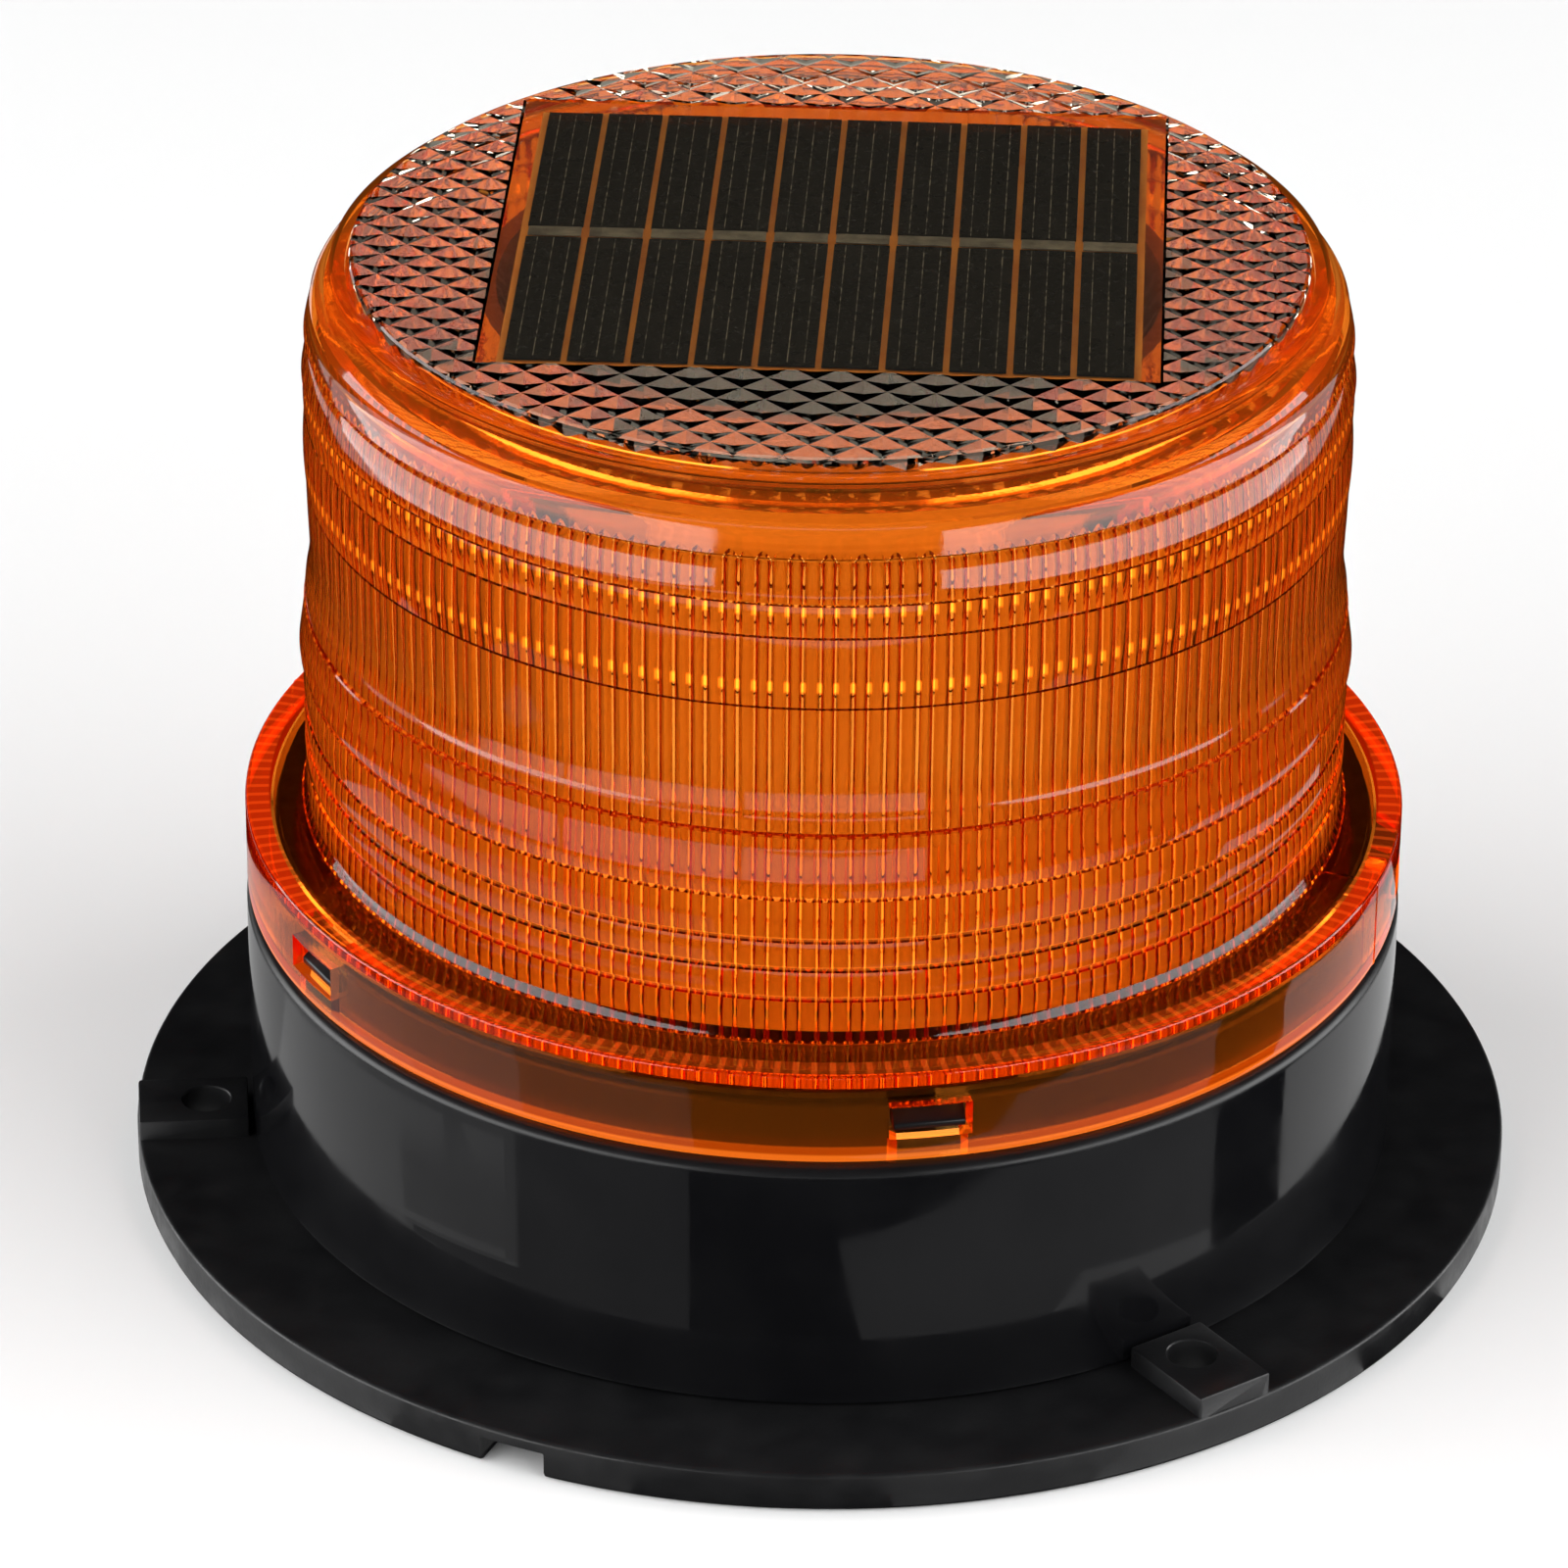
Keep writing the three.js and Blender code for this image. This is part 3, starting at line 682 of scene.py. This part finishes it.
def shape_parting_line(rings):
    """A fine raised line up the skirt and over the shelf, where the mould halves meet."""
    step = 360 / COLUMNS
    for azimuth in PARTING_AZIMUTHS:
        c = round(azimuth / step)
        for points in rings:
            radius = math.hypot(*points[0][:2])
            if radius < 55.4 or points[0][2] > SHELF_TOP + 0.1:
                continue
            for offset, shift in ((-1, -0.1), (1, 0.1)):
                points[(c + offset) % COLUMNS] = on_circle(radius, c * step + shift, points[0][2])
            lift = 0.09
            out = lift if points[0][2] < SHELF_TOP - 0.3 else 0
            up = lift if radius < SKIRT_R - 0.1 else 0
            points[c % COLUMNS] = on_circle(radius + out, c * step, points[0][2] + up)


def cut_windows(bm, outside, inside):
    """Opens each latch window through the skirt and lines its four sides."""
    verts = bm.verts
    dead = set()
    walls = []
    for azimuth in WINDOW_AZIMUTHS:
        first, last = window_columns(azimuth, WINDOW_WIDTH, SKIRT_R)
        span = [c % COLUMNS for c in range(first, last + 1)]
        for low_ring, top_ring in (outside, inside):
            for a, b in zip(span, span[1:]):
                corners = {verts[low_ring[a]], verts[low_ring[b]], verts[top_ring[a]], verts[top_ring[b]]}
                face = next(f for f in verts[low_ring[a]].link_faces if set(f.verts) == corners)
                dead.add(face)
        for o_ring, i_ring in ((outside[0], inside[0]), (outside[1], inside[1])):
            for a, b in zip(span, span[1:]):
                walls.append([verts[o_ring[a]], verts[o_ring[b]], verts[i_ring[b]], verts[i_ring[a]]])
        for c in (span[0], span[-1]):
            corners = (outside[0][c], outside[1][c], inside[1][c], inside[0][c])
            walls.append([verts[i] for i in corners])
    bmesh.ops.delete(bm, geom=list(dead), context="FACES_ONLY")
    for wall in walls:
        bm.faces.new(wall)


# ---------------------------------------------------------------- clear prism cover
def panel_frame():
    """Centre and half size of the solar panel, measured along its own turned axes."""
    names = [n for n in frame["nodes"] if n.startswith("solar_cell")]
    corners = [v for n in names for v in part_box(n)]
    centre = sum(corners, Vector()) / len(corners) / MM
    size = Vector(high("solar_backsheet")) - Vector(low("solar_backsheet"))
    tilt = math.radians(abs(PANEL_YAW))
    c, s = math.cos(tilt), math.sin(tilt)
    wide = (size.x * c - size.y * s) / (c * c - s * s)
    deep = (size.y * c - size.x * s) / (c * c - s * s)
    return centre, wide / 2, deep / 2


PANEL_CENTRE, PANEL_HALF_X, PANEL_HALF_Y = panel_frame()


def prism_depth(x, y):
    """How far the underside reaches down at a point of the 45 degree lattice."""
    pitch = PRISM_SIDE * math.sqrt(2)
    u = (x + y) / pitch
    v = (x - y) / pitch
    du = abs(u - round(u))
    dv = abs(v - round(v))
    return PRISM_DEPTH * (1 - 2 * max(du, dv))


def cut_lines(bm, direction, spacing, first):
    """Cuts the flat disc along parallel lines that stand square to the direction."""
    normal = Vector((direction[0], direction[1], 0)).normalized()
    at = first
    while at < COVER_R:
        if at > -COVER_R:
            geometry = bm.verts[:] + bm.edges[:] + bm.faces[:]
            bmesh.ops.bisect_plane(bm, geom=geometry, dist=1e-5, plane_co=normal * at, plane_no=normal)
        at += spacing


def build_cover():
    bm = bmesh.new()
    circle = [bm.verts.new(Vector(p)) for p in ring(COVER_R, 0, 288)]
    bm.faces.new(circle)
    bm.transform(Matrix.Rotation(math.radians(-PANEL_YAW), 4, "Z"))
    centre = Matrix.Rotation(math.radians(-PANEL_YAW), 4, "Z") @ Vector((PANEL_CENTRE.x, PANEL_CENTRE.y, 0))
    start = -PRISM_SIDE * 16
    diagonal = PRISM_SIDE / math.sqrt(2)
    cut_lines(bm, (1, 1), PRISM_SIDE, start + PRISM_SIDE / 2)
    cut_lines(bm, (1, -1), PRISM_SIDE, start + PRISM_SIDE / 2)
    cut_lines(bm, (1, 0), diagonal, -diagonal * 22)
    cut_lines(bm, (0, 1), diagonal, -diagonal * 22)
    outer = (PANEL_HALF_X + 2.2, PANEL_HALF_Y + 1.6)
    inner = (outer[0] - 0.3, outer[1] - 0.3)
    for half in (outer, inner):
        for axis in (0, 1):
            for side in (-1, 1):
                normal = Vector((1, 0, 0)) if axis == 0 else Vector((0, 1, 0))
                point = centre + normal * side * half[axis]
                geometry = bm.verts[:] + bm.edges[:] + bm.faces[:]
                bmesh.ops.bisect_plane(bm, geom=geometry, dist=1e-5, plane_co=point, plane_no=normal)
    underside(bm, centre, inner, outer)
    return bm


def underside(bm, centre, inner, outer):
    """Gives the flat cut disc its prisms and window, then closes it with a wall and a crowned top."""
    rim_edges = [e for e in bm.edges if e.is_boundary]
    top = bmesh.ops.duplicate(bm, geom=bm.verts[:] + bm.edges[:] + bm.faces[:])
    twin = top["vert_map"]
    copies = set(g for g in top["geom"] if isinstance(g, bmesh.types.BMVert))
    originals = [v for v in bm.verts if v not in copies]
    eps = 1e-3
    for v in originals:
        x, y = v.co.x - centre.x, v.co.y - centre.y
        other = twin[v]
        radius = math.hypot(v.co.x, v.co.y)
        inset = (COVER_R - 0.45) / COVER_R
        other.co = Vector((v.co.x * inset, v.co.y * inset, crown_height(radius)))
        if abs(x) <= inner[0] + eps and abs(y) <= inner[1] + eps:
            v.co.z = COVER_BOTTOM + 0.3
        else:
            v.co.z = PRISM_VALLEY - prism_depth(v.co.x, v.co.y)
    rows = {}
    for e in rim_edges:
        for v in e.verts:
            if v not in rows:
                up = bm.verts.new(Vector((v.co.x, v.co.y, COVER_TOP - 0.85)))
                shoulder = COVER_R - 0.13
                scale = shoulder / COVER_R
                mid = bm.verts.new(Vector((v.co.x * scale, v.co.y * scale, COVER_TOP - 0.55)))
                rows[v] = (up, mid)
    for e in rim_edges:
        a, b = e.verts
        bm.faces.new([a, b, rows[b][0], rows[a][0]])
        bm.faces.new([rows[a][0], rows[b][0], rows[b][1], rows[a][1]])
        bm.faces.new([rows[a][1], rows[b][1], twin[b], twin[a]])
    bm.transform(Matrix.Rotation(math.radians(PANEL_YAW), 4, "Z"))
    bm.transform(Matrix.Scale(MM, 4))


def crown_height(radius):
    return COVER_TOP - 0.4 * (radius / COVER_R) ** 2


# ---------------------------------------------------------------- housing and base plate
def latch_hook(azimuth):
    bottom = WINDOW_Z[0] + 0.5
    top = DECK_TOP - 0.3
    outline = [(57.4, bottom), (60.5, bottom), (60.5, bottom + 0.7), (58.4, top), (57.4, top)]
    half = (WINDOW_WIDTH - 0.8) / 2
    bm = bmesh.new()
    sides = [[bm.verts.new(Vector((x, -r, z))) for r, z in outline] for x in (-half, half)]
    n = len(outline)
    for i in range(n):
        j = (i + 1) % n
        bm.faces.new([sides[0][i], sides[0][j], sides[1][j], sides[1][i]])
    bm.faces.new(sides[0])
    bm.faces.new(sides[1])
    bmesh.ops.recalc_face_normals(bm, faces=bm.faces)
    edges = [e for e in bm.edges if max(abs(v.co.y) for v in e.verts) > 58]
    bmesh.ops.bevel(bm, geom=edges, offset=0.18, segments=2, profile=0.5, affect="EDGES")
    bm.transform(Matrix.Rotation(math.radians(azimuth), 4, "Z"))
    bm.transform(Matrix.Scale(MM, 4))
    return bm


def build_housing():
    spigot = SKIRT_BORE - 0.4
    deck_under = DECK_TOP - 2.2
    profile = [(WALL_R - 0.2, WALL_BOTTOM), (WALL_R, WALL_BOTTOM + 0.12)]
    profile += [(WALL_R - 0.05, WALL_BOTTOM + 0.4), (WALL_R, WALL_BOTTOM + 3), (WALL_R, 18), (WALL_R, WALL_TOP - 1.4)]
    profile += arc((WALL_R - 1.3, WALL_TOP - 1.3), 1.3, 10, 90, 7)
    profile += [(spigot + 0.3, WALL_TOP), (spigot, WALL_TOP + 0.3), (spigot, DECK_TOP - 0.5)]
    profile += arc((spigot - 0.5, DECK_TOP - 0.5), 0.5, 15, 90, 3)
    profile += [(40, DECK_TOP), (24, DECK_TOP), (8.3, DECK_TOP), (8, DECK_TOP - 0.3), (8, deck_under)]
    profile += [(30, deck_under), (spigot - 2.8, deck_under), (spigot - 2.5, deck_under - 0.3)]
    profile += [(spigot - 2.5, 31.5), (WALL_R - 2.7, 28.5), (WALL_R - 2.7, WALL_BOTTOM)]
    shell = turned(profile, 288)
    added = [latch_hook(a) for a in WINDOW_AZIMUTHS]
    holes = []
    for azimuth in LUG_AZIMUTHS:
        x, y, _ = on_circle(50, azimuth + 60, 0)
        added.append(post(x, y, [(3.5, WALL_BOTTOM), (3.5, 17.7), (3.2, 18)]))
        added.append(block(-1.2, 1.2, -(WALL_R - 2), -51.5, 8.6, 18, azimuth + 60))
        holes.append(post(x, y, [(1.75, 0), (1.75, 15)], 24))
    shell = combined(shell, joined(added), "UNION")
    return combined(shell, joined(holes), "DIFFERENCE")


def build_base_plate():
    profile = [(6, 1.6), (20, 1.6), (40, 1.6), (53.8, 1.6), (54.2, 1.3), (54.8, 0.1), (55.1, 0), (64, 0)]
    profile += [(FLANGE_R - 0.8, 0), (FLANGE_R - 0.25, 0.25), (FLANGE_R, 0.8), (FLANGE_R, FLANGE_TOP - 0.5)]
    profile += arc((FLANGE_R - 0.5, FLANGE_TOP - 0.5), 0.5, 20, 90, 4)
    profile += [(70, FLANGE_TOP), (65, FLANGE_TOP), (56.4, FLANGE_TOP), (56.4, 7.7), (56.1, 8)]
    profile += [(54.9, 8), (54.6, 7.7), (54.6, FLANGE_TOP), (40, FLANGE_TOP), (6, FLANGE_TOP)]
    plate = turned(profile, 288, close=False, cap=True)
    added = []
    removed = []
    half = LUG_WIDTH / 2
    for azimuth in LUG_AZIMUTHS:
        added.append(block(-half, half, -LUG_FACE, -LUG_INNER, 1, LUG_TOP, azimuth, 0.3))
        x, y, _ = on_circle(LUG_HOLE_R, azimuth, 0)
        chamfer = [(2.6, -1), (2.6, LUG_TOP - 0.15), (2.75, LUG_TOP + 0.05), (2.75, LUG_TOP + 1)]
        removed.append(post(x, y, chamfer))
        removed.append(block(-3.65, 3.65, -FLANGE_R - 1, -FLANGE_R + 4.5, -1, 3.1, azimuth + 60, 0.2))
        x, y, _ = on_circle(SCREW_R, azimuth + 60, 0)
        removed.append(post(x, y, [(3.4, 0.5), (3.4, 2.6), (1.8, 2.6), (1.8, 6)]))
    for x, y in board_posts():
        added.append(post(x, y, [(2.6, 4), (2.6, 4.6), (2.2, 5), (2.2, BOARD_UNDER - 0.3)], 32))
        removed.append(post(x, y, [(1.3, FLANGE_TOP + 1), (1.3, BOARD_UNDER + 1)], 24))
    slot_x, slot_y = SWITCH_MIDDLE
    removed.append(block(slot_x - 4.3, slot_x + 4.3, slot_y - 1.7, slot_y + 1.7, 0, FLANGE_TOP + 1, 0, 0.3))
    plate = combined(plate, joined(added), "UNION")
    return combined(plate, joined(removed), "DIFFERENCE")


def board_posts():
    """The two screw posts under opposite corners of the control board."""
    a, b = low("control_board"), high("control_board")
    return [(a[0] + 4, a[1] + 3.4), (b[0] - 4, b[1] - 3.4)]


# ---------------------------------------------------------------- small pieces
def build_screw(at, head_r, head_h, shank_r, length, recess):
    """Pan-head cross screw, head down, with its thread as shallow rings."""
    profile = [(0.3, 0), (head_r * 0.62, 0.06), (head_r * 0.86, 0.3), (head_r, head_h * 0.62)]
    profile += [(head_r, head_h), (shank_r, head_h), (shank_r, head_h + 0.8)]
    z = head_h + 1.0
    while z < length - 1.4:
        profile += [(shank_r + 0.02, z), (shank_r - 0.3, z + 0.3)]
        z += 0.6
    profile += [(shank_r * 0.7, length - 0.8), (0.3, length)]
    screw = turned(profile, 36, close=False, cap=True)
    wide = block(-recess, recess, -0.33, 0.33, -1, 0.9, 0, 0.05)
    deep = block(-0.33, 0.33, -recess, recess, -1, 0.8, 0, 0.05)
    for arm in (wide, deep):
        screw = combined(screw, arm, "DIFFERENCE")
    screw.transform(Matrix.Translation(Vector(at) * MM))
    return screw


def build_knob():
    a, b = low("switch_slider"), high("switch_slider")
    knob = block(a[0], b[0], a[1], b[1], a[2], b[2], 0, 0.25)
    middle = (a[0] + b[0]) / 2
    grooves = [
        block(middle + dx - 0.16, middle + dx + 0.16, a[1] - 1, b[1] + 1, -1, a[2] + 0.45)
        for dx in (-0.9, -0.3, 0.3, 0.9)
    ]
    return combined(knob, joined(grooves), "DIFFERENCE")


def build_reflector():
    foot, top = low("reflector")[2], high("reflector")[2]
    outside = [(18, foot), (18.3, foot + 6), (19, 58), (21, 69), (24.5, 80), (29.6, 90), (36, top)]
    inside = [(34.2, top), (28, 90.4), (23, 80.6), (19.5, 69.4), (17.4, 58.4)]
    inside += [(16.7, foot + 6), (16.4, foot)]
    return turned(outside + inside, 180)


# ---------------------------------------------------------------- solar panel details
def on_panel(bm, z=0):
    """Turns a piece drawn flat round the panel's own centre into its place."""
    bm.transform(Matrix.Rotation(math.radians(PANEL_YAW), 4, "Z"))
    bm.transform(Matrix.Translation(Vector((PANEL_CENTRE.x, PANEL_CENTRE.y, z)) * MM))
    return bm


def cell_columns():
    """Middle of each of the ten cell columns along the panel."""
    pitch = (2 * PANEL_HALF_X - 0.8) / 10
    return [(i - 4.5) * pitch for i in range(10)]


def build_fingers(top):
    """Three fine printed silver lines along each of the twenty cells."""
    parts = []
    for x in cell_columns():
        for shift in (-1.65, 0.05, 1.75):
            for y0, y1 in ((-PANEL_HALF_Y + 1.4, -1.6), (1.6, PANEL_HALF_Y - 1.4)):
                parts.append(block(x + shift - 0.05, x + shift + 0.05, y0, y1, top, top + 0.02))
    return on_panel(joined(parts))


def build_tabs(top):
    """Soldered ribbons that join the two rows, each with a solder pad at its left end."""
    parts = []
    for x in cell_columns():
        parts.append(block(x - 2.75, x + 2.75, -1.05, 1.05, top - 0.1, top + 0.03, 0, 0.02))
        parts.append(block(x - 2.7, x - 1.5, -0.95, 0.95, top + 0.03, top + 0.08, 0, 0.03))
        parts.append(block(x - 1.2, x + 2.4, -0.25, 0.25, top + 0.03, top + 0.07, 0, 0.02))
    return on_panel(joined(parts))


add_stage()
add_camera()
add_lights()
add_piece("amber_lens", build_lens(), AMBER, replaces=["lens"], sharp=25)
add_piece("prism_cover", build_cover(), CLEAR, replaces=["top_cover"], sharp=12)
add_piece("black_housing", build_housing(), LOOKS["black_gloss"], replaces=["housing"])
add_piece("mounting_base", build_base_plate(), LOOKS["black_satin"], replaces=["base_plate"])
add_piece("flared_reflector", build_reflector(), LOOKS["reflector_white"], replaces=["reflector"])
add_piece("cell_fingers", build_fingers(high("solar_cell_01")[2]), SILVER)
add_piece("cell_tabs", build_tabs(high("solar_cell_01")[2]), SOLDER)
for i in (1, 2, 3):
    node = f"base_screw_{i}"
    a, b = low(node), high(node)
    at = ((a[0] + b[0]) / 2, (a[1] + b[1]) / 2, a[2])
    add_piece(f"cross_screw_{i}", build_screw(at, 3, 1.7, 1.4, 11.4, 1.7), LOOKS["screw_steel"],
              replaces=[node])
add_piece("slider_knob", build_knob(), LOOKS["switch_knob"], body=KNOB, replaces=["switch_slider"])
for part in frame["record"]["subparts"]:
    obj = frame["nodes"][part["node"]]
    obj.data.materials.clear()
    obj.data.materials.append(LOOKS[part["material_slot"]])
